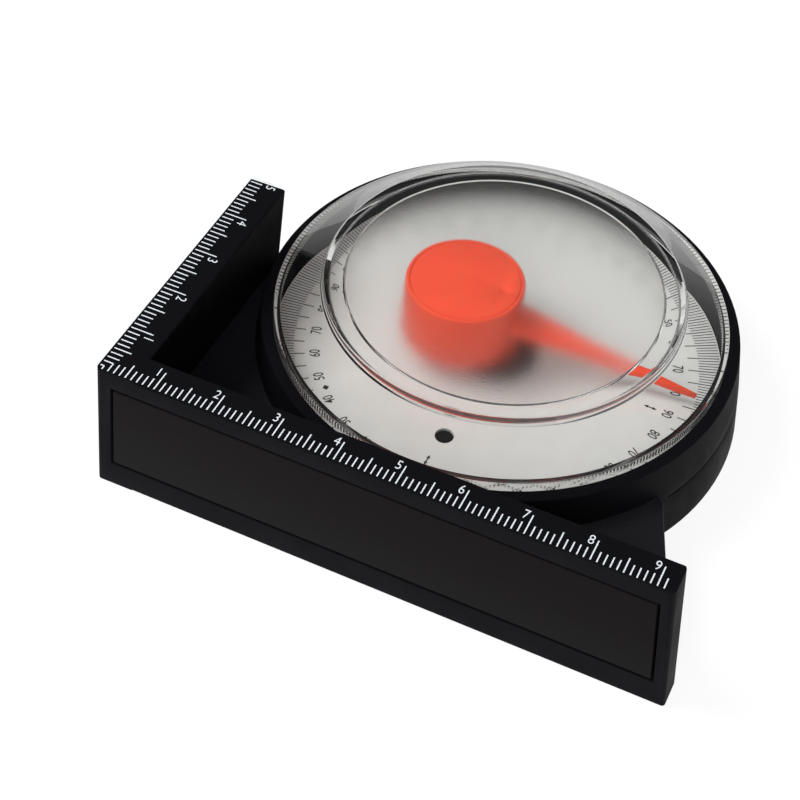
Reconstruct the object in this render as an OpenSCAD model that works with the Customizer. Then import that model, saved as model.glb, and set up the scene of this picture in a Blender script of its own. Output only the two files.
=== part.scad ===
// Dial inclinometer with a magnetic base: a weighted pointer swings on a pin over
// a dial of degrees, under a clear cover, in a moulded housing with two ruled edges.
// It lies on its back, dial up. The origin is where the pivot axis meets the back.

/* [Base and arm] */
// Length of the base along its ruled top edge
base_len = 92.8; // [88:0.1:120]
// Height from the back to the ruled edges
housing_h = 26.6; // [25:0.1:34]
// Thickness of the base bar
base_t = 5.6; // [5:0.1:8]
// Length of the ruled arm, from the face of the base to its outer end corner
arm_len = 49.7; // [40:0.1:60]
// Thickness of the arm
arm_t = 6.4; // [5:0.1:8]
// Slant of the arm's end face, in degrees
arm_end_slant = 23.5; // [0:0.5:35]
// Lean of the arm's outer face, which widens toward the back, in degrees
arm_lean = 4.2; // [0.5:0.1:6]
// Lean of the base's free end, which widens toward the back, in degrees
end_lean = 5.8; // [0.5:0.1:8]
// Radius of the upright edges at the ends
end_edge_r = 0.9; // [0.5:0.1:2.2]
// Radius that softens the long edges of the bars
soft_r = 0.4; // [0.2:0.05:0.8]

/* [Magnet] */
// Distance from the magnet strip to the arm's end of the base, to which it runs parallel
strip_left = 3; // [2:0.1:10]
// Distance from the magnet strip to the free end of the base, to which it runs parallel
strip_right = 2.4; // [1.5:0.1:10]
// Distance from the magnet strip to the back
strip_under = 5.5; // [2:0.05:7]
// Distance from the magnet strip to the ruled edge
strip_over = 3.85; // [2:0.05:6]
// Thickness of the magnet strip
strip_t = 2.6; // [1.5:0.1:3]
// Thickness of the tape behind the magnet strip
strip_tape_t = 0.3; // [0.1:0.05:0.5]
// Gap left round the magnet strip in its recess
strip_gap = 0.4; // [0.2:0.05:0.8]

/* [Cup] */
// Radius of the cup at the outer edge of its rim
rim_r = 39.8; // [36:0.1:48]
// Height of the rim above the back
rim_z = 16.2; // [15:0.1:19]
// Width of the flat rim beside the cover
rim_w = 2; // [1:0.1:2.5]
// How far the cup widens from its rim to its parting line
waist_out = 1.15; // [0.6:0.05:3]
// Height of the parting line
waist_z = 8.6; // [7:0.1:10]
// How far the cup widens from its rim to its foot
foot_out = 2.1; // [1:0.05:5]
// Gap between the cup's foot and the base bar
foot_gap = 1.85; // [1:0.05:6]
// Gap between the cup's rim and the arm
arm_gap = 0.75; // [0.5:0.05:6]
// Thickness of the moulded walls
wall = 2.4; // [1.6:0.1:3]
// Height of the cup's floor, on which the dial lies
floor_z = 7.1; // [6.5:0.1:8]
// Height of the sunk floors of the two corner webs
web_z = 10.1; // [9:0.1:11]
// Direction from the axis in which the right web leaves the cup, in degrees
web_az = -29; // [-35:1:-20]
// Thickness of the ribs on the back
rib_t = 1.6; // [1:0.1:2.4]
// Number of ribs under the cup's floor
cup_ribs = 6; // [4:1:12]
// Depth of the ribs below the back edge
rib_sink = 0.6; // [0.2:0.1:1.5]
// Width of the parting line's groove
groove_w = 0.45; // [0.2:0.05:0.8]
// Depth of the parting line's groove
groove_depth = 0.3; // [0.1:0.05:0.5]
// Angle by which the groove stays clear of the web and of the arm, in degrees
groove_clear = 3; // [1:0.5:10]

/* [Cover] */
// Height of the cover's outer edge above the rim
edge_rise = 1.8; // [1:0.1:3]
// Radius of the raised crown that makes room for the weight
crown_r = 29.8; // [26:0.1:32]
// Height of the crown's side wall
crown_wall_h = 1.4; // [1:0.1:4]
// Gap between the weight's drum and the cover
head_room = 0.7; // [0.5:0.1:2]
// Thickness of the crown's top
cover_t = 1.6; // [1:0.1:2]
// Thickness of the crown's side wall
crown_side_t = 1; // [0.8:0.1:2]
// Thickness of the sloping flange
flange_t = 1.2; // [0.8:0.1:2]
// Thickness of the ring at the cover's edge
edge_ring_t = 1.6; // [1:0.1:2]
// Radius of the frosted face under the crown
frost_r = 26.3; // [20:0.1:27]
// Depth of the frosted face in the cover's underside
frost_depth = 0.2; // [0.1:0.05:0.4]
// Depth of the cover's seat below the rim
seat_depth = 1.4; // [1:0.1:3]
// Width of the ledge that carries the cover
ledge_w = 0.4; // [0.3:0.05:1]
// How far the well narrows from the ledge down to its floor
well_draft = 0.15; // [0:0.05:0.5]

/* [Dial] */
// Thickness of the dial plate
dial_t = 0.4; // [0.2:0.05:0.8]
// Thickness of the tape that holds the dial
dial_tape_t = 0.3; // [0.1:0.05:0.5]
// Radius of the boss that carries the pin and centres the dial
boss_r = 6.8; // [5:0.1:9]
// Height of the boss above the dial
boss_rise = 0.8; // [0.4:0.1:1.5]
// Radius of the locating hole in the dial
locator_r = 1.55; // [1:0.05:2.5]
// Distance of the locating hole from the axis
locator_at = 21.6; // [16:0.1:26]

/* [Pendulum] */
// Direction of the pointer at rest, from +X towards +Y, in degrees
pointer_az = 6; // [0:1:359]
// Distance from the pointer's tip to the edge of the dial
pointer_margin = 3.65; // [2:0.05:8]
// Height of the pointer's tip above the dial
pointer_gap = 1.4; // [0.8:0.1:2]
// Slope of the pointer, down from the drum to the dial, in degrees
pointer_slope = 10.9; // [0:0.1:12]
// Width of the pointer where it leaves the hub
pointer_root_w = 6.4; // [5:0.1:9]
// Width of the pointer at its waist, past the flared root
pointer_waist_w = 3.7; // [2.5:0.1:5]
// Distance of the pointer's waist from the axis
pointer_waist_r = 12.5; // [8:0.1:18]
// Width of the pointer's blade
blade_w = 2.1; // [1:0.1:2.5]
// Length of the blade, with its point
blade_len = 9.5; // [6:0.1:14]
// Length of the blade's fine point
blade_point = 4; // [1:0.1:5]
// Width of the very tip
tip_w = 0.4; // [0.2:0.1:1]
// Thickness of the pointer
pointer_t = 1.2; // [0.8:0.1:1.6]
// Radius of the drum that holds the weight
drum_r = 9.85; // [8:0.05:12]
// How far the drum reaches past the axis, toward the pointer
drum_over = 3.25; // [3:0.05:5]
// Height of the drum
drum_h = 10.2; // [9:0.1:10.5]
// Height of the hub below the drum
hub_foot = 1.7; // [1:0.1:3]
// Thickness of the drum's wall
drum_wall = 1.2; // [0.8:0.1:1.5]
// Thickness of the drum's cap
drum_cap_t = 1.2; // [0.8:0.1:1.5]
// Width of the step in the drum's wall that carries the cap
cap_step = 0.55; // [0.3:0.05:0.6]
// Gap between the steel slug and the cap
slug_room = 0.8; // [0.2:0.1:4]
// Depth of the dimple in the cap, over the pin
dimple_depth = 0.35; // [0.1:0.05:0.6]
// Radius of the dimple
dimple_r = 1; // [0.6:0.1:1.5]

/* [Pivot] */
// Diameter of the pin
pin_d = 2; // [1.5:0.1:2.5]
// Thickness of the housing under the pin
pin_floor = 1.5; // [0.8:0.1:3]
// Gap between the pin and the drum's cap
pin_room = 1; // [0.5:0.1:3]
// Length of the pin past its clip
pin_head = 0.9; // [0.5:0.1:1.5]
// Depth of the clip's groove in the pin
clip_groove = 0.2; // [0.1:0.05:0.4]
// Wall of the bush
bush_wall = 1; // [0.6:0.1:1.4]
// Wall of the pendulum's hub round the bush
hub_wall = 1.3; // [0.8:0.1:1.6]
// Thickness of the washer under the bush, and of the clip over it
washer_t = 0.5; // [0.3:0.1:0.8]

/* [Fits] */
// Running clearance between the pin and the bush
pin_fit = 0.05; // [0.01:0.01:0.1]
// End play of the pendulum on its pin, at each end
end_play = 0.3; // [0.3:0.05:0.6]
// Clearance round pieces that are dropped into a seat
seat_fit = 0.1; // [0.05:0.01:0.3]
// Distance that the tapes stay inside the edges of what they hold
tape_inset = 1; // [0.5:0.1:2]

/* [Hidden] */
$fn = 96;

// How far a cutter reaches past the face that it opens
past = 1;

// Places of the bars, seen from the axis
waist_r = rim_r + waist_out;
foot_r = rim_r + foot_out;
centre_y = base_t + foot_gap + foot_r;
base_y0 = -centre_y;
base_y1 = base_y0 + base_t;
arm_x1 = -(rim_r + arm_gap);
arm_x0 = arm_x1 - arm_t;
base_x0 = arm_x0;
base_x1 = base_x0 + base_len;
arm_y1 = base_y0 + arm_len;
lean_out = housing_h * tan(arm_lean);

// The depth of the magnet strip's recess
recess_t = strip_t + strip_tape_t;

// Radii and heights inside the cup
seat_r = rim_r - rim_w;
seat_z = rim_z - seat_depth;
well_r = seat_r - ledge_w;
well_floor_r = well_r - well_draft;
dial_z = floor_z + dial_tape_t;
dial_top = dial_z + dial_t;
dial_r = well_floor_r - seat_fit;
boss_z = dial_top + boss_rise;

// The drum that holds the weight
pendulum_z = boss_z + washer_t + end_play;
drum_z = pendulum_z + hub_foot;
drum_top = drum_z + drum_h;
drum_floor = drum_z + drum_wall;
cap_z = drum_top - drum_cap_t;
well_in_drum = drum_r - drum_wall;
drum_at = drum_r - drum_over;
slug_h = cap_z - slug_room - drum_floor;
pointer_r = dial_r - pointer_margin;

// The pivot
pin_r = pin_d / 2;
bush_ir = pin_r + pin_fit;
bush_r = bush_ir + bush_wall;
hub_r = bush_r + hub_wall;
pin_top = cap_z - pin_room;
clip_z = pin_top - pin_head - washer_t;
clip_r = drum_over - drum_wall - end_play;
clip_groove_r = pin_r - clip_groove;
bush_h = clip_z - end_play - pendulum_z;

// The cover
cover_r = seat_r - seat_fit;
edge_z = rim_z + edge_rise;
crown_z = drum_top + head_room + cover_t;
crown_foot_z = crown_z - crown_wall_h;

// Points along an arc, from angle a0 to a1
function arc(cx, cy, r, a0, a1, n = 6) =
    [for (i = [0:n]) [cx + r * cos(a0 + (a1 - a0) * i / n), cy + r * sin(a0 + (a1 - a0) * i / n)]];

// A rectangle from p to q with all four corners rounded
module soft_rect(p, q, r) {
    polygon(concat(
        arc(q[0] - r, q[1] - r, r, 0, 90),
        arc(p[0] + r, q[1] - r, r, 90, 180),
        arc(p[0] + r, p[1] + r, r, 180, 270),
        arc(q[0] - r, p[1] + r, r, 270, 360)));
}

// A tall prism on the outline drawn in its children, leaning about the line x = x0 on
// the ruled edges' level, so that it grows outward toward the back
module leaning(x0, angle) {
    translate([x0, 0, housing_h])
        rotate([0, angle, 0])
            translate([-x0, 0, -housing_h * 1.5])
                linear_extrude(housing_h * 2) children();
}

// The base bar: two leaning prisms shape its ends and a slab shapes its long edges
module base_bar() {
    far = 2 * base_len;
    intersection() {
        leaning(base_x0, arm_lean) soft_rect([base_x0, base_y0], [base_x0 + far, base_y1], end_edge_r);
        leaning(base_x1, -end_lean) soft_rect([base_x1 - far, base_y0], [base_x1, base_y1], end_edge_r);
        translate([base_x0 - far / 2, 0, 0])
            rotate([90, 0, 90])
                linear_extrude(far * 2) soft_rect([base_y0, 0], [base_y1, housing_h], soft_r);
    }
}

// The arm's outline, with its slanted end and the rounded inner corner
module arm_outline(x0) {
    r = end_edge_r;
    s = arm_end_slant;
    // Centre of the arc that joins the slanted end to the inner face
    cx = arm_x1 - r;
    cy = arm_y1 + (cx - arm_x0) * tan(s) - r / cos(s);
    polygon(concat(
        arc(x0 + r, base_y0 + r, r, 180, 270),
        [[arm_x1, base_y0], [arm_x1, cy]],
        arc(cx, cy, r, 0, 90 + s),
        [[x0, arm_y1 + (x0 - arm_x0) * tan(s)]]));
}

// The arm: its outer face leans as the base's end does, its inner face stands upright
module arm_bar() {
    far = 2 * arm_len;
    intersection() {
        leaning(base_x0, arm_lean) arm_outline(arm_x0);
        linear_extrude(housing_h) arm_outline(arm_x0 - far);
        translate([0, base_y0 - far / 2, 0])
            rotate([90, 0, 180])
                linear_extrude(far * 2, center = true)
                    soft_rect([-arm_x1, 0], [-arm_x0 + lean_out + past, housing_h], soft_r);
    }
}

// Outside of the cup: foot, parting line, rim
module cup_outside() {
    r = soft_r;
    rotate_extrude()
        polygon(concat(
            [[0, 0], [foot_r - r, 0], [foot_r, r], [waist_r, waist_z]],
            arc(rim_r - r, rim_z - r, r, 0, 90),
            [[0, rim_z]]));
}

// The parting line is a fine groove round the cup's free side, from the right web to
// the place where the cup meets the arm
module parting_groove() {
    rotate([0, 0, web_az + groove_clear])
        rotate_extrude(angle = 180 - web_az - 2 * groove_clear)
            polygon([
                [waist_r + past, waist_z - groove_w], [waist_r - groove_depth, waist_z],
                [waist_r + past, waist_z + groove_w]]);
}

// Outlines of the corner webs, which start inside the base, the arm and the cup
web_root = wall / 2;
web_start = [foot_r * cos(web_az), foot_r * sin(web_az)];
module right_web_outline() {
    polygon([
        [0, base_y1 - web_root], [base_x1 - end_edge_r, base_y1 - web_root],
        [base_x1, base_y1], web_start, [0, 0]]);
}
module left_web_outline() {
    polygon([
        [arm_x1 - web_root, base_y1 - web_root], [0, base_y1 - web_root], [0, 0],
        [arm_x1 - web_root, 0]]);
}

module webs() {
    linear_extrude(web_z) right_web_outline();
    linear_extrude(web_z) left_web_outline();
}

// What is hollow on the back: the webs and the cup's floor are moulded as a shell
module back_cores() {
    web_roof = web_z - wall;
    cup_roof = floor_z - wall;
    // Under the cup, between the foot's wall and the pin's boss
    difference() {
        translate([0, 0, -past]) cylinder(r = foot_r - wall, h = cup_roof + past);
        translate([0, 0, -past]) cylinder(r = pin_r + 2 * wall, h = floor_z + past);
        for (i = [0:cup_ribs - 1])
            rotate([0, 0, i * 360 / cup_ribs])
                translate([0, -rib_t / 2, rib_sink]) cube([foot_r, rib_t, floor_z]);
    }
    web_core(web_roof) right_core_outline();
    web_core(web_roof) left_core_outline();
}

// The hollow under a web, up to its roof and outside the cup's foot
module web_core(roof) {
    difference() {
        translate([0, 0, -past]) linear_extrude(roof + past) children();
        translate([0, 0, -2 * past]) cylinder(r = foot_r, h = roof + 3 * past);
    }
}

module left_core_outline() {
    polygon([
        [arm_x1, base_y1], [-wall, base_y1], [-wall, -foot_r / 2], [arm_x1, -foot_r / 2]]);
}

// The right web's outline, moved in by one wall from its free edge
module right_core_outline() {
    edge = [base_x1 - web_start[0], base_y1 - web_start[1]];
    long = norm(edge);
    inward = [edge[1] / long * wall, -edge[0] / long * wall];
    polygon([
        [wall, base_y1], [base_x1 + inward[0], base_y1],
        web_start + inward, [wall, -foot_r / 2]]);
}

module housing() color("#1a1a1d") {
    difference() {
        union() {
            base_bar();
            arm_bar();
            cup_outside();
            webs();
        }
        // Recess for the magnet strip
        strip_block(base_y0 - past, recess_t + past, strip_gap);
        cup_inside();
        parting_groove();
        back_cores();
        translate([0, 0, pin_floor]) cylinder(r = pin_r, h = boss_z);
    }
    // Peg that turns the dial the right way; it stands on the cup's floor
    translate([0, -locator_at, floor_z - wall / 2])
        cylinder(r = locator_r - seat_fit, h = dial_tape_t + wall / 2);
}

// The well for the dial and the cover's seat, round the central boss
module cup_inside() {
    difference() {
        rotate_extrude()
            polygon([
                [0, floor_z], [well_floor_r, floor_z], [well_r, seat_z], [seat_r, seat_z],
                [seat_r, rim_z + past], [0, rim_z + past]]);
        translate([0, 0, floor_z - past]) cylinder(r = boss_r, h = boss_z - floor_z + past);
    }
}

// A block with the outline of the magnet strip, made larger all round by more. Its ends
// run parallel to the ends of the base.
module strip_block(y, thickness, more) {
    z0 = strip_under - more;
    z1 = housing_h - strip_over + more;
    left = base_x0 + strip_left - more;
    right = base_x1 - strip_right + more;
    translate([0, y + thickness, 0])
        rotate([90, 0, 0])
            linear_extrude(thickness)
                polygon([
                    [left - (housing_h - z0) * tan(arm_lean), z0],
                    [right + (housing_h - z0) * tan(end_lean), z0],
                    [right + (housing_h - z1) * tan(end_lean), z1],
                    [left - (housing_h - z1) * tan(arm_lean), z1]]);
}

module magnet_strip() color("#1c1917") {
    strip_block(base_y0, strip_t, 0);
}

module magnet_tape() color("#d8d8d2") {
    strip_block(base_y0 + strip_t, strip_tape_t, -tape_inset);
}

module ring(r_out, r_in, h) {
    difference() {
        cylinder(r = r_out, h = h);
        translate([0, 0, -past]) cylinder(r = r_in, h = h + 2 * past);
    }
}

module dial_tape() color("#e6e4dc") {
    difference() {
        translate([0, 0, floor_z]) ring(dial_r - tape_inset, boss_r + tape_inset, dial_tape_t);
        translate([0, -locator_at, 0]) cylinder(r = locator_r + seat_fit, h = rim_z);
    }
}

module dial_plate() color("#cfd0cb") {
    difference() {
        translate([0, 0, dial_z]) ring(dial_r, boss_r + seat_fit, dial_t);
        translate([0, -locator_at, 0]) cylinder(r = locator_r, h = rim_z);
    }
}

// Clear cover: edge ring, sloping flange and raised crown, with the frosted face let
// into the crown's underside
module clear_cover() color([0.85, 0.88, 0.9, 0.35]) {
    r = soft_r;
    under_z = crown_z - cover_t;
    inner_r = crown_r - crown_side_t;
    rotate_extrude()
        polygon(concat(
            [[cover_r - edge_ring_t, seat_z], [cover_r, seat_z]],
            arc(cover_r - r, edge_z - r, r, 0, 60, 3),
            [[crown_r + r, crown_foot_z]],
            arc(crown_r - r, crown_z - r, r, 0, 90, 4),
            [[0, crown_z], [0, under_z + frost_depth]],
            [[frost_r, under_z + frost_depth], [frost_r, under_z]],
            arc(inner_r - r, under_z - r, r, 90, 0, 4),
            [[inner_r, crown_foot_z - flange_t]],
            [[cover_r - edge_ring_t, edge_z - flange_t]]));
}

module pivot_pin() color("#b9bcc0") {
    chamfer = pin_r / 4;
    difference() {
        rotate_extrude()
            polygon([
                [0, pin_floor], [pin_r, pin_floor], [pin_r, pin_top - chamfer],
                [pin_r - chamfer, pin_top], [0, pin_top]]);
        translate([0, 0, clip_z]) ring(pin_r + past, clip_groove_r, washer_t);
    }
}

module thrust_washer() color("#c8a85a") {
    translate([0, 0, boss_z]) ring(hub_r, bush_ir, washer_t);
}

// A push-on clip with an open side, held in the pin's groove
module retaining_clip() color("#8f9296") {
    clip_mouth = 1.6 * clip_groove_r;
    translate([0, 0, clip_z])
        difference() {
            ring(clip_r, clip_groove_r, washer_t);
            translate([0, -clip_mouth / 2, -past])
                cube([clip_r + past, clip_mouth, washer_t + 2 * past]);
        }
}

// Outline of the pointer, along +X: a flared root, a waist, then a blade with a point
module pointer_outline() {
    half = [
        [0, pointer_root_w / 2], [hub_r, pointer_root_w / 2],
        [pointer_waist_r, pointer_waist_w / 2], [pointer_r - blade_len, blade_w / 2],
        [pointer_r - blade_point, 0.9 * blade_w / 2], [pointer_r, tip_w / 2]];
    polygon(concat(half, [for (i = [len(half) - 1:-1:0]) [half[i][0], -half[i][1]]]));
}

// The pointer turned about its tip, so that it rises toward the hub
module pointer() {
    translate([pointer_r, 0, dial_top + pointer_gap])
        rotate([0, pointer_slope, 0])
            translate([-pointer_r, 0, 0])
                linear_extrude(pointer_t) pointer_outline();
}

module at_rest() {
    rotate([0, 0, pointer_az]) children();
}

// The pointer, the drum open at its top, and the hub, moulded as one
module pendulum() color("#e8573c") {
    r = 0.35;
    at_rest() difference() {
        union() {
            difference() {
                union() {
                    pointer();
                    translate([-drum_at, 0, drum_z])
                        rotate_extrude()
                            polygon(concat(
                                [[0, 0], [drum_r, 0]],
                                arc(drum_r - r, drum_h - r, r, 0, 90, 4),
                                [[0, drum_h]]));
                }
                translate([-drum_at, 0, drum_floor]) cylinder(r = well_in_drum, h = drum_h);
                translate([-drum_at, 0, cap_z])
                    cylinder(r = well_in_drum + cap_step, h = drum_h);
            }
            translate([0, 0, pendulum_z]) cylinder(r = hub_r, h = bush_h);
        }
        translate([0, 0, pendulum_z - past]) cylinder(r = bush_r, h = bush_h + 2 * past);
    }
}

module pendulum_bush() color("#c8a85a") {
    translate([0, 0, pendulum_z]) ring(bush_r, bush_ir, bush_h);
}

module weight_slug() color("#7d8084") {
    at_rest() difference() {
        translate([-drum_at, 0, drum_floor]) cylinder(r = well_in_drum - seat_fit, h = slug_h);
        translate([0, 0, drum_floor - past])
            cylinder(r = hub_r + seat_fit, h = slug_h + 2 * past);
    }
}

module drum_cap() color("#e8573c") {
    at_rest() difference() {
        translate([-drum_at, 0, cap_z])
            cylinder(r = well_in_drum + cap_step - seat_fit, h = drum_cap_t);
        translate([0, 0, drum_top - dimple_depth])
            cylinder(r1 = dimple_r / 3, r2 = dimple_r * 5 / 3, h = 2 * dimple_depth);
    }
}

housing();
magnet_strip();
magnet_tape();
dial_tape();
dial_plate();
clear_cover();
pivot_pin();
thrust_washer();
retaining_clip();
pendulum();
pendulum_bush();
weight_slug();
drum_cap();
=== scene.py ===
# %% [markdown]
# # A dial inclinometer, finished in Blender
#
# A dial inclinometer is a small workshop tool. Its magnetic base holds it to a steel
# face, and a weighted pointer swings over a dial of degrees to show how far that face
# leans. The pieces come from the CAD model at their real size; here they get what the
# eye sees: softened plastic edges, printed rulers, a printed dial, a knurled clear
# cover with a frosted face, and the light of a small studio.

import math

import bmesh
import bpy
from mathutils import Matrix, Vector


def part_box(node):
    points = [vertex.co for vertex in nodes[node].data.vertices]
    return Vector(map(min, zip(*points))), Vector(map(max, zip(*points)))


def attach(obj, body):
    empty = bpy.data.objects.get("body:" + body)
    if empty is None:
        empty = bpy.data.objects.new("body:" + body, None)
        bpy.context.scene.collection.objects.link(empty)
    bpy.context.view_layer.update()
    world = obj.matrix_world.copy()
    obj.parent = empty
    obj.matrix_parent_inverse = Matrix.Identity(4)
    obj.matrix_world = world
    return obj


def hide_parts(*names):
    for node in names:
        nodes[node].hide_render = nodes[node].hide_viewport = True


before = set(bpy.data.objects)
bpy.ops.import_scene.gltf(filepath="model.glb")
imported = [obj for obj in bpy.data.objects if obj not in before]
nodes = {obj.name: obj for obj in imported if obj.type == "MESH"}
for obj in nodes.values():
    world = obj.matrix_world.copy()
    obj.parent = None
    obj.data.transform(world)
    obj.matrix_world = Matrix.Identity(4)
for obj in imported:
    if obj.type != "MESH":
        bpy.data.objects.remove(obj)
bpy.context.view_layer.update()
MM = 0.001  # the CAD model and Blender both count in metres
print("nodes:", ", ".join(sorted(nodes)))

# %% [markdown]
# ## The camera
#
# A product photo can be solved backwards: the rulers printed on this tool are real
# millimetre scales, so their marks give the camera's place, turn and focal length. The
# camera comes first, because every later choice is judged through it. It looks down
# steeply and a little to the left, with a slight roll, through a short telephoto lens.

# %% Camera
camera_place = Vector((64.37, -202.33, 223.77)) * MM
camera_heading = math.radians(21.89)  # turned left of straight ahead (+Y)
camera_dip = math.radians(47.38)      # looking down from the horizon
camera_roll = math.radians(4.19)
focal_mm = 80.29                      # on a sensor 36 mm wide

lens = bpy.data.cameras.new("camera")
lens.sensor_width = 36
lens.lens = focal_mm
lens.clip_start = 10 * MM
camera = bpy.data.objects.new("camera", lens)
bpy.context.scene.collection.objects.link(camera)
camera.matrix_world = (
    Matrix.Translation(camera_place)
    @ Matrix.Rotation(camera_heading, 4, "Z")
    @ Matrix.Rotation(math.pi / 2 - camera_dip, 4, "X")
    @ Matrix.Rotation(camera_roll, 4, "Z")
)
bpy.context.scene.camera = camera
print("camera at", tuple(round(v / MM, 1) for v in camera_place), "mm")

# %% [markdown]
# ## Colours and node helpers
#
# A maker's colour is written in sRGB, as #1a1a1d, but shaders work in linear light. One
# function makes that change, so every colour below can be read as it looks on a screen.
# Node trees get long when each node takes five lines, so one small function adds a node,
# sets its values and draws its links. It doesn't care what kind of node it adds.

# %% Colour and node helpers
def linear(code):
    """The linear RGBA of an sRGB hex colour such as '#1a1a1d'."""
    parts = [int(code[i:i + 2], 16) / 255 for i in (1, 3, 5)]
    return [c / 12.92 if c <= 0.04045 else ((c + 0.055) / 1.055) ** 2.4 for c in parts] + [1.0]


def add_node(tree, kind, values=None, **settings):
    """Adds a node. values maps its input sockets to a number, a colour or another node's output."""
    new = tree.nodes.new(kind)
    for name, value in settings.items():
        setattr(new, name, value)
    for socket, value in (values or {}).items():
        if isinstance(value, bpy.types.NodeSocket):
            tree.links.new(value, new.inputs[socket])
        else:
            new.inputs[socket].default_value = value
    return new


def new_material(name):
    """A material with an empty node tree, and that tree."""
    made = bpy.data.materials.new(name)
    made.use_nodes = True
    made.node_tree.nodes.clear()
    return made, made.node_tree


def per_mm(size):
    """The Scale of a texture whose cells are about size millimetres wide."""
    return 1 / (size * MM)


print("mid grey #808080 is", round(linear("#808080")[0], 3), "in linear light")

# %% [markdown]
# ## The black plastic
#
# The housing is injection-moulded ABS, coloured through in black. The mould was lightly
# spark-eroded, which leaves a fine grain: the surface has a soft sheen and no mirror
# image. A bump from noise gives that grain; the real one is finer than a pixel, so it is
# drawn 0.3 mm wide. A second, larger noise lets the sheen drift. The sunk floors of the
# corner webs have a much coarser, pebbled grain that glitters a little, so the same
# function makes a second material for them. It is the same black plastic, but its base
# colour is painted lighter: a painted sheen for the light that the pebbles catch.

# %% Moulded black ABS
def moulded_abs(name, code, grain_mm, grain_depth_mm, roughness, gloss):
    """Black ABS with a moulded grain of the given size and depth."""
    made, tree = new_material(name)
    place = add_node(tree, "ShaderNodeTexCoord").outputs["Object"]
    grain = add_node(tree, "ShaderNodeTexNoise", {
        "Vector": place, "Scale": per_mm(grain_mm), "Detail": 3.0, "Roughness": 0.6})
    patches = add_node(tree, "ShaderNodeTexNoise", {
        "Vector": place, "Scale": per_mm(9), "Detail": 2.0})
    # Handling polishes the plastic unevenly, so the sheen drifts a little over the part
    drift = 0.05
    sheen = add_node(tree, "ShaderNodeMapRange", {
        "Value": patches.outputs["Fac"], "From Min": 0.35, "From Max": 0.65,
        "To Min": roughness - drift, "To Max": roughness + drift})
    bump = add_node(tree, "ShaderNodeBump", {
        "Height": grain.outputs["Fac"], "Strength": 1.0, "Distance": grain_depth_mm * MM})
    shader = add_node(tree, "ShaderNodeBsdfPrincipled", {
        "Base Color": linear(code), "Roughness": sheen.outputs["Result"],
        "IOR": 1.53, "Specular IOR Level": gloss, "Normal": bump.outputs["Normal"]})
    add_node(tree, "ShaderNodeOutputMaterial", {"Surface": shader.outputs["BSDF"]})
    return made


black_abs = moulded_abs(
    "moulded_black_abs", "#0d0d10", grain_mm=0.3, grain_depth_mm=0.012, roughness=0.6,
    gloss=0.04)
# Painted sheen: the base colour is lighter than the same black plastic elsewhere, standing in for
# the light the pebbled grain catches
pebbled_abs_painted_sheen = moulded_abs(
    "pebbled_black_abs_painted_sheen", "#17171b", grain_mm=0.9, grain_depth_mm=0.2, roughness=0.4,
    gloss=0.3)
print("black plastics:", black_abs.name, pebbled_abs_painted_sheen.name)

# %% [markdown]
# ## The magnet
#
# The strip is ferrite powder in rubber, rolled flat between calenders. That leaves a
# warm, dull black with a faint grain that runs along the strip. Stretching the noise
# along X makes the grain directional.

# %% Calendered magnetic rubber
def magnetic_rubber():
    """Dull, warm black rubber with faint streaks along X."""
    made, tree = new_material("calendered_magnet_rubber")
    place = add_node(tree, "ShaderNodeTexCoord").outputs["Object"]
    stretch = 0.12  # the streaks are about eight times as long as they are wide
    along = add_node(tree, "ShaderNodeMapping", {"Vector": place, "Scale": (stretch, 1, 1)})
    streaks = add_node(tree, "ShaderNodeTexNoise", {
        "Vector": along.outputs["Vector"], "Scale": per_mm(0.5), "Detail": 3.0})
    bump = add_node(tree, "ShaderNodeBump", {
        "Height": streaks.outputs["Fac"], "Distance": 0.01 * MM})
    tone = add_node(tree, "ShaderNodeMix", {
        "Factor": streaks.outputs["Fac"], "A": linear("#110f0f"), "B": linear("#151313")},
        data_type="RGBA")
    shader = add_node(tree, "ShaderNodeBsdfPrincipled", {
        "Base Color": tone.outputs["Result"], "Roughness": 0.62,
        "Specular IOR Level": 0.04, "Normal": bump.outputs["Normal"]})
    add_node(tree, "ShaderNodeOutputMaterial", {"Surface": shader.outputs["BSDF"]})
    return made


magnet_rubber = magnetic_rubber()
print("magnet:", magnet_rubber.name)

# %% [markdown]
# ## The dial and the prints
#
# The dial is a thin silver-grey plastic sheet with a slight gloss. Its marks are black
# ink, and the rulers' marks are white paint pressed on with a pad. A print lies a little
# proud of what carries it and keeps its edge sharp from close by, so the prints below
# are thin meshes and not a texture. Ink and paint lie unevenly, so their colour wanders
# over a few tenths of a millimetre.

# %% Dial sheet, ink, paint and tape
def sheet_plastic(name, code, roughness, mottle_mm=4.0, mottle=0.03):
    """A smooth printed or painted film whose colour wanders a little."""
    made, tree = new_material(name)
    place = add_node(tree, "ShaderNodeTexCoord").outputs["Object"]
    cloud = add_node(tree, "ShaderNodeTexNoise", {
        "Vector": place, "Scale": per_mm(mottle_mm), "Detail": 4.0})
    shade = add_node(tree, "ShaderNodeMapRange", {
        "Value": cloud.outputs["Fac"], "From Min": 0.3, "From Max": 0.7,
        "To Min": 1 - mottle, "To Max": 1 + mottle})
    tone = add_node(tree, "ShaderNodeVectorMath", {
        0: linear(code)[:3], "Scale": shade.outputs["Result"]}, operation="SCALE")
    shader = add_node(tree, "ShaderNodeBsdfPrincipled", {
        "Base Color": tone.outputs["Vector"], "Roughness": roughness})
    add_node(tree, "ShaderNodeOutputMaterial", {"Surface": shader.outputs["BSDF"]})
    return made


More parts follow.
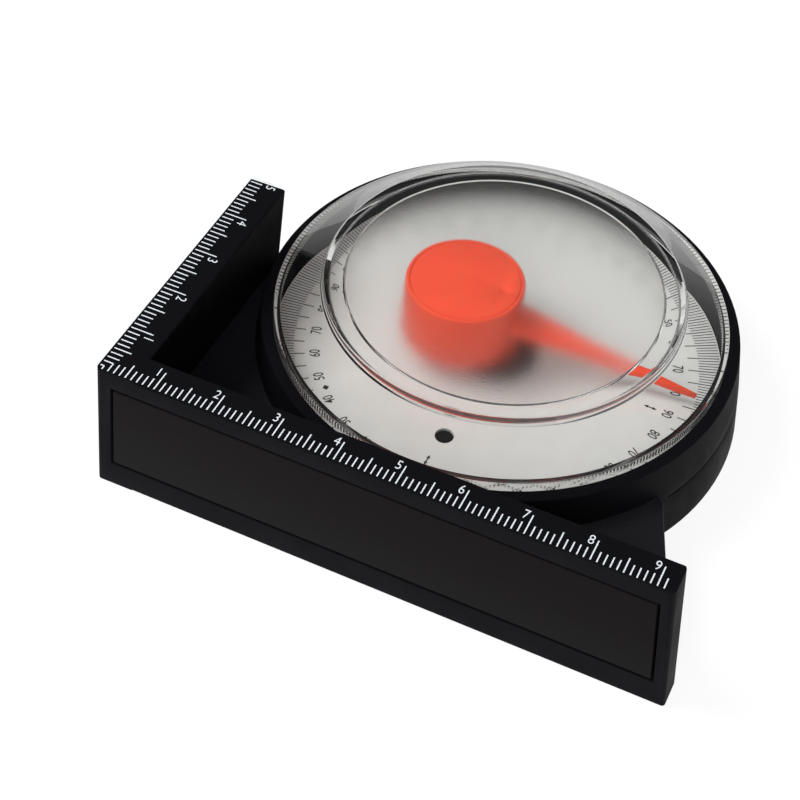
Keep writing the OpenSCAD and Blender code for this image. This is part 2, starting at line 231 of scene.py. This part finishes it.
dial_sheet = sheet_plastic("printed_dial_sheet", "#cecfcc", 0.15)
black_ink = sheet_plastic("screen_printed_ink", "#1e1f22", 0.5, mottle_mm=0.4, mottle=0.15)
white_paint = sheet_plastic("pad_printed_paint", "#c6ccd0", 0.5, mottle_mm=0.3, mottle=0.12)
double_sided_tape = sheet_plastic("double_sided_tape", "#d8d8d2", 0.6)
print("films:", ", ".join(m.name for m in (dial_sheet, black_ink, white_paint, double_sided_tape)))

# %% [markdown]
# ## The clear cover
#
# The cover is moulded styrene, as clear as glass and a little more bending (IOR 1.59).
# Glass in a path tracer stops the lamps' light, so a Light Path node lets the rays that
# look for a lamp pass as if the wall were open: the dial stays lit. The face over the
# weight is frosted by a rough, finely grained inner surface. Such a surface blurs what
# lies far behind it much more than what lies close to it, which is why the drum's top
# is sharp and its foot is a haze.

# %% Clear and frosted styrene
def styrene(name, roughness, grain_mm=None, grain_depth_mm=0.0):
    """Clear styrene; a roughness and a grain frost it."""
    made, tree = new_material(name)
    shader = add_node(tree, "ShaderNodeBsdfPrincipled", {
        "Base Color": linear("#fbfbfa"), "Roughness": roughness, "IOR": 1.59,
        "Transmission Weight": 1.0})
    if grain_mm:
        place = add_node(tree, "ShaderNodeTexCoord").outputs["Object"]
        grain = add_node(tree, "ShaderNodeTexNoise", {
            "Vector": place, "Scale": per_mm(grain_mm), "Detail": 2.0})
        bump = add_node(tree, "ShaderNodeBump", {
            "Height": grain.outputs["Fac"], "Distance": grain_depth_mm * MM})
        tree.links.new(bump.outputs["Normal"], shader.inputs["Normal"])
    open_wall = add_node(tree, "ShaderNodeBsdfTransparent", {"Color": linear("#ffffff")})
    path = add_node(tree, "ShaderNodeLightPath")
    both = add_node(tree, "ShaderNodeMixShader", {
        0: path.outputs["Is Shadow Ray"], 1: shader.outputs["BSDF"],
        2: open_wall.outputs["BSDF"]})
    add_node(tree, "ShaderNodeOutputMaterial", {"Surface": both.outputs["Shader"]})
    return made


clear_styrene = styrene("clear_styrene", 0.0)
frosted_styrene = styrene("frosted_styrene", 0.26, grain_mm=0.3, grain_depth_mm=0.03)
print("cover:", clear_styrene.name, frosted_styrene.name)

# %% [markdown]
# ## The pointer's plastic and the metals
#
# The pointer and its drum are opaque orange plastic with a satin surface; a little light
# enters such a plastic, which softens its shadows. The pin and its clip are bright
# steel, the bush and the washer are brass, and the slug is plain steel bar. Real
# turning marks are far under a tenth of a millimetre; the rings are drawn coarser.

# %% Orange plastic and metals
def orange_plastic():
    """Orange plastic that lets a little light in, with slow flow marks and a fine grain."""
    made, tree = new_material("satin_orange_plastic")
    place = add_node(tree, "ShaderNodeTexCoord").outputs["Object"]
    flow = add_node(tree, "ShaderNodeTexNoise", {
        "Vector": place, "Scale": per_mm(6), "Detail": 2.0})
    tone = add_node(tree, "ShaderNodeMix", {
        "Factor": flow.outputs["Fac"], "A": linear("#e8492b"), "B": linear("#ec5434")},
        data_type="RGBA")
    grain = add_node(tree, "ShaderNodeTexNoise", {
        "Vector": place, "Scale": per_mm(0.35), "Detail": 2.0})
    bump = add_node(tree, "ShaderNodeBump", {
        "Height": grain.outputs["Fac"], "Distance": 0.008 * MM})
    shader = add_node(tree, "ShaderNodeBsdfPrincipled", {
        "Base Color": tone.outputs["Result"], "Roughness": 0.45,
        "Specular IOR Level": 0.4, "Subsurface Weight": 0.4,
        "Subsurface Radius": (1.0, 0.2, 0.08), "Subsurface Scale": 2.0 * MM,
        "Normal": bump.outputs["Normal"]})
    add_node(tree, "ShaderNodeOutputMaterial", {"Surface": shader.outputs["BSDF"]})
    return made


def turned_metal(name, code, roughness):
    """Metal turned on a lathe: fine rings about the pivot axis."""
    made, tree = new_material(name)
    place = add_node(tree, "ShaderNodeTexCoord").outputs["Object"]
    rings = add_node(tree, "ShaderNodeTexWave", {
        "Vector": place, "Scale": per_mm(1.0), "Distortion": 0.4},
        wave_type="RINGS", rings_direction="Z")
    bump = add_node(tree, "ShaderNodeBump", {
        "Height": rings.outputs["Fac"], "Distance": 0.003 * MM})
    shader = add_node(tree, "ShaderNodeBsdfPrincipled", {
        "Base Color": linear(code), "Metallic": 1.0, "Roughness": roughness,
        "Normal": bump.outputs["Normal"]})
    add_node(tree, "ShaderNodeOutputMaterial", {"Surface": shader.outputs["BSDF"]})
    return made


orange = orange_plastic()
bright_steel = turned_metal("turned_bright_steel", "#c9ccd0", 0.25)
slug_steel = turned_metal("sawn_steel_bar", "#9a9da1", 0.45)
brass = turned_metal("turned_brass", "#d8b468", 0.3)
print("moving parts:", ", ".join(m.name for m in (orange, bright_steel, slug_steel, brass)))

# %% [markdown]
# ## CAD pieces that only need a finish
#
# The dial, the tapes, the pin, the washer, the clip, the bush and the slug have the
# right shape already, so each one only swaps its material.

# %% Give CAD pieces their materials
finishes = {
    "dial_plate": dial_sheet, "dial_tape": double_sided_tape,
    "magnet_tape": double_sided_tape, "pivot_pin": bright_steel,
    "retaining_clip": bright_steel, "thrust_washer": brass, "pendulum_bush": brass,
    "weight_slug": slug_steel,
}
for name, finish in finishes.items():
    nodes[name].data.materials.clear()
    nodes[name].data.materials.append(finish)
print(len(finishes), "CAD pieces have a new finish")

# %% [markdown]
# ## Softened edges
#
# No moulded plastic edge is sharp: the steel mould rounds each one by a tenth of a
# millimetre or two, and that thin round is what catches the light. The CAD solids keep
# such edges sharp. A copy of a CAD mesh is merged into one skin, its flat faces are
# joined up again, and its sharp edges are bevelled. The copy then stands for the node.
# A very short edge has no room for a round: its bevel would fold over itself, so it
# stays as it is.

# %% Helpers that finish a piece
SHARP = math.radians(28)  # edges that turn more than this are real edges
SAME_POINT = 0.001 * MM   # points closer than this are merged


def finish_piece(bm, name, materials, body, replaced=()):
    """Turns a bmesh into a smooth-shaded piece that rides on a body of the frame."""
    mesh = bpy.data.meshes.new(name)
    for face in bm.faces:
        face.smooth = True
    bm.to_mesh(mesh)
    bm.free()
    mesh.set_sharp_from_angle(angle=SHARP)
    for finish in materials:
        mesh.materials.append(finish)
    piece = bpy.data.objects.new(name, mesh)
    bpy.context.scene.collection.objects.link(piece)
    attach(piece, body)
    if replaced:
        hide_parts(*replaced)
    print(f"{name}: {len(mesh.polygons)} faces")
    return piece


def softened_copy(node, round_mm, shortest_mm=0.2):
    """A bmesh of a CAD node, merged, its sharp edges over shortest_mm rounded by round_mm."""
    bm = bmesh.new()
    bm.from_mesh(nodes[node].data)
    bmesh.ops.remove_doubles(bm, verts=bm.verts, dist=SAME_POINT)
    bmesh.ops.dissolve_limit(
        bm, angle_limit=math.radians(0.5), verts=bm.verts, edges=bm.edges)
    sharp_edges = [
        e for e in bm.edges if e.calc_face_angle() > SHARP and e.calc_length() > shortest_mm * MM]
    bmesh.ops.bevel(
        bm, geom=sharp_edges, offset=round_mm * MM, offset_type="OFFSET", affect="EDGES",
        segments=2, profile=0.5, material=-1)
    print(f"{node}: {len(sharp_edges)} edges rounded by {round_mm} mm")
    return bm


# %% [markdown]
# ## The housing
#
# Base bar, arm, cup and webs are one moulding. Where its curved walls meet, the CAD
# solid has many tiny edges, so only those over a millimetre long are rounded. The faces
# on the sunk web floors are found by their height and their upright normal, and take the
# pebbled material.

# %% Housing
web_floor_z = 10.1 * MM

bm = softened_copy("housing", 0.15, shortest_mm=1.0)
for face in bm.faces:
    on_floor = abs(face.calc_center_median().z - web_floor_z) < 0.05 * MM
    if on_floor and face.normal.z > 0.9:
        face.material_index = 1
finish_piece(
    bm, "housing_shell", [black_abs, pebbled_abs_painted_sheen], "root", ["housing"])

# %% [markdown]
# ## The magnet strip
#
# The strip was cut from a roll, and its two ends run parallel to the ends of the base.
# It is a softened copy of the CAD strip, with slightly larger rounds than the plastic.

# %% Magnet strip
bm = softened_copy("magnet_strip", 0.25)
finish_piece(bm, "magnet_bar", [magnet_rubber], "root", ["magnet_strip"])

# %% [markdown]
# ## The printed rulers
#
# Two scales meet at the corner of the base and the arm: one counts along the base, the
# other along the arm. Each mark is a thin film of paint, longer at every fifth and
# tenth millimetre. Near the corner the two scales would cross, so there each mark stops
# where it meets its twin on the other scale. A numeral stands beside each whole
# centimetre. Blender's own text object gives the numerals their outline; it is turned
# into a mesh, and its place is written into the vertices.

# %% Marks and numerals
film = 0.03 * MM        # thickness of a printed film; half of it is sunk in its surface
numeral_h = 1.75 * MM
font_height = 0.72      # numerals of the built-in font stand this share of its size


def add_mark(bm, centre, length, width, turn):
    """A thin film, length along its own X, turned by an angle about Z."""
    made = bmesh.ops.create_cube(bm, size=1.0)
    place = (
        Matrix.Translation(centre) @ Matrix.Rotation(turn, 4, "Z")
        @ Matrix.Diagonal((length, width, film, 1)))
    bmesh.ops.transform(bm, matrix=place, verts=made["verts"])


def add_numeral(bm, text, centre, turn, squeeze, weight):
    """A numeral centred on a point, its feet toward -Y before it is turned.

    squeeze is its width against the font's, and weight moves its outline in or out."""
    curve = bpy.data.curves.new("numeral", "FONT")
    curve.body = text
    curve.align_x = "CENTER"
    curve.align_y = "CENTER"
    curve.offset = weight
    curve.extrude = 0.5
    curve.resolution_u = 3
    shape = bpy.data.objects.new("numeral", curve)
    mesh = shape.to_mesh()
    size = numeral_h / font_height
    mesh.transform(
        Matrix.Translation(centre) @ Matrix.Rotation(turn, 4, "Z")
        @ Matrix.Diagonal((size * squeeze, size, film, 1)))
    bm.from_mesh(mesh)
    shape.to_mesh_clear()
    bpy.data.objects.remove(shape)
    bpy.data.curves.remove(curve)


# %% Rulers on the base and the arm
low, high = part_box("housing")
ruled_z = high.z
# The upright edges' ends at the ruled height; the leaning end faces reach further below
corner_x = -46.95 * MM
corner_y = low.y
mark_w = 0.21 * MM
QUARTER = math.pi / 2
corner = Vector((corner_x, corner_y, ruled_z))
along_x = Vector((1, 0, 0))
along_y = Vector((0, 1, 0))


def ruler(bm, along, across, count, gap, lengths, numeral_turn, numeral_shift):
    """Marks at each millimetre to count, from the corner along one edge.

    They start gap inside that edge. lengths are those of the tenth, the fifth and the
    plain marks. A numeral stands numeral_shift from the inner end of each tenth mark."""
    turn = math.atan2(across.y, across.x)
    for k in range(1, count + 1):
        length = lengths[0] if k % 10 == 0 else lengths[1] if k % 5 == 0 else lengths[2]
        length = min(length, k * MM - gap)
        foot = corner + along * (k * MM)
        add_mark(bm, foot + across * (gap + length / 2), length, mark_w, turn)
        if k % 10 == 0:
            inner_end = foot + across * (gap + length)
            add_numeral(
                bm, str(k // 10), inner_end + numeral_shift, numeral_turn,
                squeeze=0.85, weight=-0.004)


bm = bmesh.new()
ruler(
    bm, along_x, along_y, count=91, gap=0.28 * MM, lengths=(3.7 * MM, 2.8 * MM, 1.9 * MM),
    numeral_turn=0, numeral_shift=Vector((-1.0, -0.35, 0)) * MM)
ruler(
    bm, along_y, along_x, count=50, gap=0.37 * MM, lengths=(3.9 * MM, 3.0 * MM, 2.07 * MM),
    numeral_turn=-QUARTER, numeral_shift=Vector((-0.3, -1.05, 0)) * MM)
finish_piece(bm, "ruler_marks", [white_paint], "root")

# %% [markdown]
# ## The printed dial
#
# The dial reads 0 to 90 degrees in each quarter: 90 lies along the base, 0 points to
# it and away from it. A short tick stands at each degree, a long one at every fifth, a
# numeral at every tenth, with its top outward. Small double arrows mark the four main
# directions and small diamonds mark the 45 degree lines.

# %% Places and sizes on the dial
dial_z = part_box("dial_plate")[1].z
dial_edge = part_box("dial_plate")[1].x
height = Vector((0, 0, dial_z))
tick_out = dial_edge - 0.15 * MM
tick_in, tick_w = 33.6 * MM, 0.16 * MM
long_tick_in, long_tick_w = 31.9 * MM, 0.19 * MM
numeral_at = 30.2 * MM
diamond_at, diamond_side = 29.85 * MM, 0.8 * MM
arrow_in, arrow_out, arrow_w = 26.4 * MM, 28.4 * MM, 0.2 * MM
head_front, head_back, head_half_w = 0.4 * MM, 0.3 * MM, 0.32 * MM
print_turn = math.radians(-0.8)  # the print is slightly turned on the sheet
print(f"dial {2 * dial_edge / MM:.1f} mm across, printed at z = {dial_z / MM:.2f} mm")


# %% Dial print
def add_arrow_head(bm, centre, way):
    """A small solid triangle of film that points in the direction way."""
    side = Vector((-way.y, way.x, 0)) * head_half_w
    corners = [centre + way * head_front, centre - way * head_back + side,
               centre - way * head_back - side]
    lower = [bm.verts.new(c - Vector((0, 0, film / 2))) for c in corners]
    face = bm.faces.new(lower)
    raised = bmesh.ops.extrude_face_region(bm, geom=[face])["geom"]
    bmesh.ops.translate(
        bm, vec=(0, 0, film), verts=[v for v in raised if isinstance(v, bmesh.types.BMVert)])


bm = bmesh.new()
for degree in range(360):
    turn = math.radians(degree) + print_turn
    out = Vector((math.cos(turn), math.sin(turn), 0))
    inner, width = (long_tick_in, long_tick_w) if degree % 5 == 0 else (tick_in, tick_w)
    add_mark(bm, out * (inner + tick_out) / 2 + height, tick_out - inner, width, turn)
    if degree % 10 == 0:
        # 90 on the base's direction, falling to 0 square to it, in each quarter
        value = 90 - abs((degree + 90) % 180 - 90)
        add_numeral(
            bm, str(value), out * numeral_at + height, turn - QUARTER, squeeze=0.72,
            weight=0.008)
    if degree % 90 == 0:
        middle = out * (arrow_in + arrow_out) / 2 + height
        add_mark(bm, middle, arrow_out - arrow_in - 2 * head_back, arrow_w, turn)
        for end, way in ((arrow_out, 1), (arrow_in, -1)):
            add_arrow_head(bm, out * (end - way * head_back) + height, way * out)
    elif degree % 45 == 0:
        add_mark(
            bm, out * diamond_at + height, diamond_side, diamond_side,
            turn + math.radians(45))
finish_piece(bm, "dial_marks", [black_ink], "root")

# %% [markdown]
# ## The pendulum
#
# Drum, hub and pointer are one orange moulding, closed by a pressed-in cap. Both are
# softened copies, so the cap's rim and the drum's edge show as two fine rings. The blade
# has to end fine enough to pick out one degree, so the outer part of the copy is drawn
# in toward the blade's middle line, more and more toward the tip.

# %% Pendulum and cap
taper_from = 0.6     # share of the reach from which the blade narrows
tip_narrowing = 0.75  # share of its width that it has lost at the tip

bm = softened_copy("pendulum", 0.12)
tip = max((v.co for v in bm.verts), key=lambda co: co.xy.length).copy()
reach = tip.xy.length
pointing = Vector((tip.x, tip.y, 0)).normalized()
for v in bm.verts:
    along = v.co.dot(pointing)
    if along > taper_from * reach:
        across = Vector((v.co.x, v.co.y, 0)) - pointing * along
        share = (along / reach - taper_from) / (1 - taper_from)
        v.co -= across * tip_narrowing * share
finish_piece(bm, "pointer_and_drum", [orange], "pointer", ["pendulum"])
bm = softened_copy("drum_cap", 0.12)
finish_piece(bm, "drum_lid", [orange], "pointer", ["drum_cap"])

# %% [markdown]
# ## The cover
#
# The cover is a turned form, so its section is drawn once and spun: an upright edge, a
# sloping flange, and a raised crown whose inner face is frosted, with a shallow groove
# round the frosting. The crown's edges and the flange's outer edge have small rounds,
# with several points each, because glass shows every facet. The edge is knurled for the
# fingers: the spin makes two steps for each rib, and every second step's outer points
# are drawn in a little.

# %% Sizes of the cover
low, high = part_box("clear_cover")
cover_r = high.x
seat_z = low.z
crown_z = high.z
rim_z = 16.2 * MM
edge_z = rim_z + 1.8 * MM
crown_r = 29.8 * MM
crown_foot_z = crown_z - 1.4 * MM
under_z = crown_z - 1.6 * MM
inner_r = crown_r - 1.0 * MM
flange_t = 1.2 * MM
edge_ring_t = 1.6 * MM
frost_r = 26.3 * MM
frost_depth = 0.2 * MM
groove_in, groove_deepest, groove_out = frost_r - 0.3 * MM, frost_r - 0.05 * MM, frost_r + 0.1 * MM
groove_depth = 0.5 * MM
soft_r = 0.4 * MM
knurl_ribs = 380       # one rib for about 0.6 mm of edge
knurl_depth = 0.1 * MM
print(f"cover {2 * cover_r / MM:.1f} mm across, crown {2 * crown_r / MM:.1f} mm")


# %% Cover
def arc(centre, radius, start, end, steps=6):
    """Points (r, z) along an arc, angles in degrees."""
    angles = [math.radians(start + (end - start) * i / steps) for i in range(steps + 1)]
    return [(centre[0] + radius * math.cos(a), centre[1] + radius * math.sin(a)) for a in angles]


section = [(cover_r - edge_ring_t, seat_z), (cover_r, seat_z), (cover_r, rim_z)]
section += arc((cover_r - soft_r, edge_z - soft_r), soft_r, 0, 60)
section += [(crown_r + soft_r, crown_foot_z)]
section += arc((crown_r - soft_r, crown_z - soft_r), soft_r, 0, 90)
section += [(0, crown_z), (0, under_z + frost_depth)]
section += [(groove_in, under_z + frost_depth), (groove_deepest, under_z + groove_depth)]
section += [(groove_out, under_z)]
section += arc((inner_r - soft_r, under_z - soft_r), soft_r, 90, 0)
section += [(inner_r, crown_foot_z - flange_t), (cover_r - edge_ring_t, edge_z - flange_t)]

bm = bmesh.new()
points = [bm.verts.new((r, 0, z)) for r, z in section]
ring = [bm.edges.new((points[i], points[(i + 1) % len(points)])) for i in range(len(points))]
bmesh.ops.spin(
    bm, geom=points + ring, cent=(0, 0, 0), axis=(0, 0, 1), angle=2 * math.pi,
    steps=2 * knurl_ribs, use_merge=True, use_duplicate=False)
bmesh.ops.remove_doubles(bm, verts=bm.verts, dist=SAME_POINT)
bmesh.ops.recalc_face_normals(bm, faces=bm.faces)
step_angle = math.pi / knurl_ribs
grooves = [
    v for v in bm.verts
    if v.co.xy.length > cover_r - 0.5 * knurl_depth and v.co.z > rim_z - 0.1 * MM
    and round(math.atan2(v.co.y, v.co.x) / step_angle) % 2]
bmesh.ops.scale(
    bm, vec=(1 - knurl_depth / cover_r, 1 - knurl_depth / cover_r, 1), verts=grooves)
for face in bm.faces:
    middle = face.calc_center_median()
    if middle.xy.length < frost_r and middle.z < crown_z - frost_depth:
        face.material_index = 1
finish_piece(
    bm, "knurled_cover", [clear_styrene, frosted_styrene], "root",
    ["clear_cover"])

# %% [markdown]
# ## The studio
#
# A pale floor and a white surround. The surround's light is kept low for the rays that
# light the part, and it is full white for a straight look from the camera, also through
# clear plastic. So the background is white while the black plastic stays black. A ray
# that gloss has mirrored meets dimmer walls, darkest overhead: a glossy face that looks
# up would otherwise wear a white veil. Two large soft lamps give the part its form. They
# stay hidden from gloss and from clear plastic, because the frosted face would spread
# them into a haze that hides the drum.

# %% Floor
def looked_at(tree):
    """1 for rays from the camera, and for those that gloss or clear plastic sends on.

    A ray that has met a dull surface on its way only gathers light for it, so it counts
    as 0 even when it leaves through the clear cover."""
    path = add_node(tree, "ShaderNodeLightPath")
    seen = add_node(tree, "ShaderNodeMath", {
        0: path.outputs["Is Camera Ray"], 1: path.outputs["Is Glossy Ray"]},
        operation="MAXIMUM")
    seen = add_node(tree, "ShaderNodeMath", {
        0: seen.outputs["Value"], 1: path.outputs["Is Transmission Ray"]},
        operation="MAXIMUM")
    return add_node(tree, "ShaderNodeMath", {
        0: seen.outputs["Value"], 1: path.outputs["Diffuse Depth"]},
        operation="SUBTRACT", use_clamp=True).outputs["Value"]


def floor_paper():
    """White paper that looks white by itself and still shows the part's shadow."""
    made, tree = new_material("white_floor_paper")
    plain = add_node(tree, "ShaderNodeBsdfDiffuse", {"Color": linear("#f4f4f4")})
    glow = add_node(tree, "ShaderNodeEmission", {"Color": linear("#ffffff"), "Strength": 1.0})
    glow_share = 0.88  # the rest of the paper's look comes from the lamps, with shadows
    soft = add_node(tree, "ShaderNodeMixShader", {
        0: glow_share, 1: plain.outputs["BSDF"], 2: glow.outputs["Emission"]})
    shown = add_node(tree, "ShaderNodeMixShader", {
        0: looked_at(tree), 1: plain.outputs["BSDF"], 2: soft.outputs["Shader"]})
    add_node(tree, "ShaderNodeOutputMaterial", {"Surface": shown.outputs["Shader"]})
    return made


floor_size = 6.0  # metres
bm = bmesh.new()
bmesh.ops.create_grid(bm, x_segments=1, y_segments=1, size=floor_size / 2)
bmesh.ops.translate(bm, vec=(0, 0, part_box("housing")[0].z), verts=bm.verts)
floor_mesh = bpy.data.meshes.new("floor")
bm.to_mesh(floor_mesh)
bm.free()
floor_mesh.materials.append(floor_paper())
floor = bpy.data.objects.new("floor", floor_mesh)
bpy.context.scene.collection.objects.link(floor)
print(f"floor: {floor_size} m square")

# %% Surround
world = bpy.data.worlds.new("studio")
world.use_nodes = True
tree = world.node_tree
tree.nodes.clear()
bpy.context.scene.world = world
ambient = 0.42                       # the surround's level for rays that light the part
wall_level, overhead_level = 0.4, 0.12  # its levels for mirrored rays
overhead_from = 0.3                  # a direction's Z from which it counts as overhead
toward = add_node(tree, "ShaderNodeSeparateXYZ", {
    "Vector": add_node(tree, "ShaderNodeTexCoord").outputs["Generated"]})
walls = add_node(tree, "ShaderNodeMapRange", {
    "Value": toward.outputs["Z"], "From Min": 0.0, "From Max": overhead_from,
    "To Min": wall_level, "To Max": overhead_level}, interpolation_type="SMOOTHSTEP")
# A straight look, also through clear plastic, ends in white; a mirrored one in the dim walls
straight = add_node(tree, "ShaderNodeMath", {
    0: 1.0, 1: add_node(tree, "ShaderNodeLightPath").outputs["Glossy Depth"]},
    operation="SUBTRACT", use_clamp=True)
seen = add_node(tree, "ShaderNodeMath", {
    0: walls.outputs["Result"], 1: straight.outputs["Value"]}, operation="MAXIMUM")
above = add_node(tree, "ShaderNodeMath", {
    0: seen.outputs["Value"], 1: ambient}, operation="SUBTRACT")
level = add_node(tree, "ShaderNodeMath", {
    0: above.outputs["Value"], 1: looked_at(tree), 2: ambient}, operation="MULTIPLY_ADD")
surround = add_node(tree, "ShaderNodeBackground", {
    "Color": linear("#ffffff"), "Strength": level.outputs["Value"]})
add_node(tree, "ShaderNodeOutputWorld", {"Surface": surround.outputs["Background"]})
print(f"surround: {ambient} as light, {overhead_level} to {wall_level} in gloss, 1 to the eye")


# %% Lamps
def softbox(name, azimuth, elevation, distance, size, watts):
    """A square soft lamp that looks at the part. Azimuth 0 is in front, 90 at the right."""
    lamp = bpy.data.lights.new(name, "AREA")
    lamp.shape = "SQUARE"
    lamp.size = size
    lamp.energy = watts
    holder = bpy.data.objects.new(name, lamp)
    # Gloss and clear plastic show the studio's walls, not the lamps
    holder.visible_glossy = False
    holder.visible_transmission = False
    bpy.context.scene.collection.objects.link(holder)
    a, e = math.radians(azimuth), math.radians(elevation)
    place = distance * Vector((
        math.sin(a) * math.cos(e), -math.cos(a) * math.cos(e), math.sin(e)))
    target = Vector((0, 0, 10 * MM))
    holder.matrix_world = (
        Matrix.Translation(place) @ (place - target).to_track_quat("Z", "Y").to_matrix().to_4x4())
    print(f"{name}: {watts} W, {size} m wide, {distance} m away")


softbox("key", azimuth=285, elevation=52, distance=1.0, size=0.4, watts=9.0)
softbox("fill", azimuth=15, elevation=35, distance=1.2, size=0.8, watts=11.0)

# Light caught in the clear cover's flange bounces many times before it leaves. With
# Blender's usual limit of 4 it would end in a black ring round the crown
bpy.context.scene.cycles.glossy_bounces = 12

bpy.context.scene.view_settings.view_transform = "Standard"
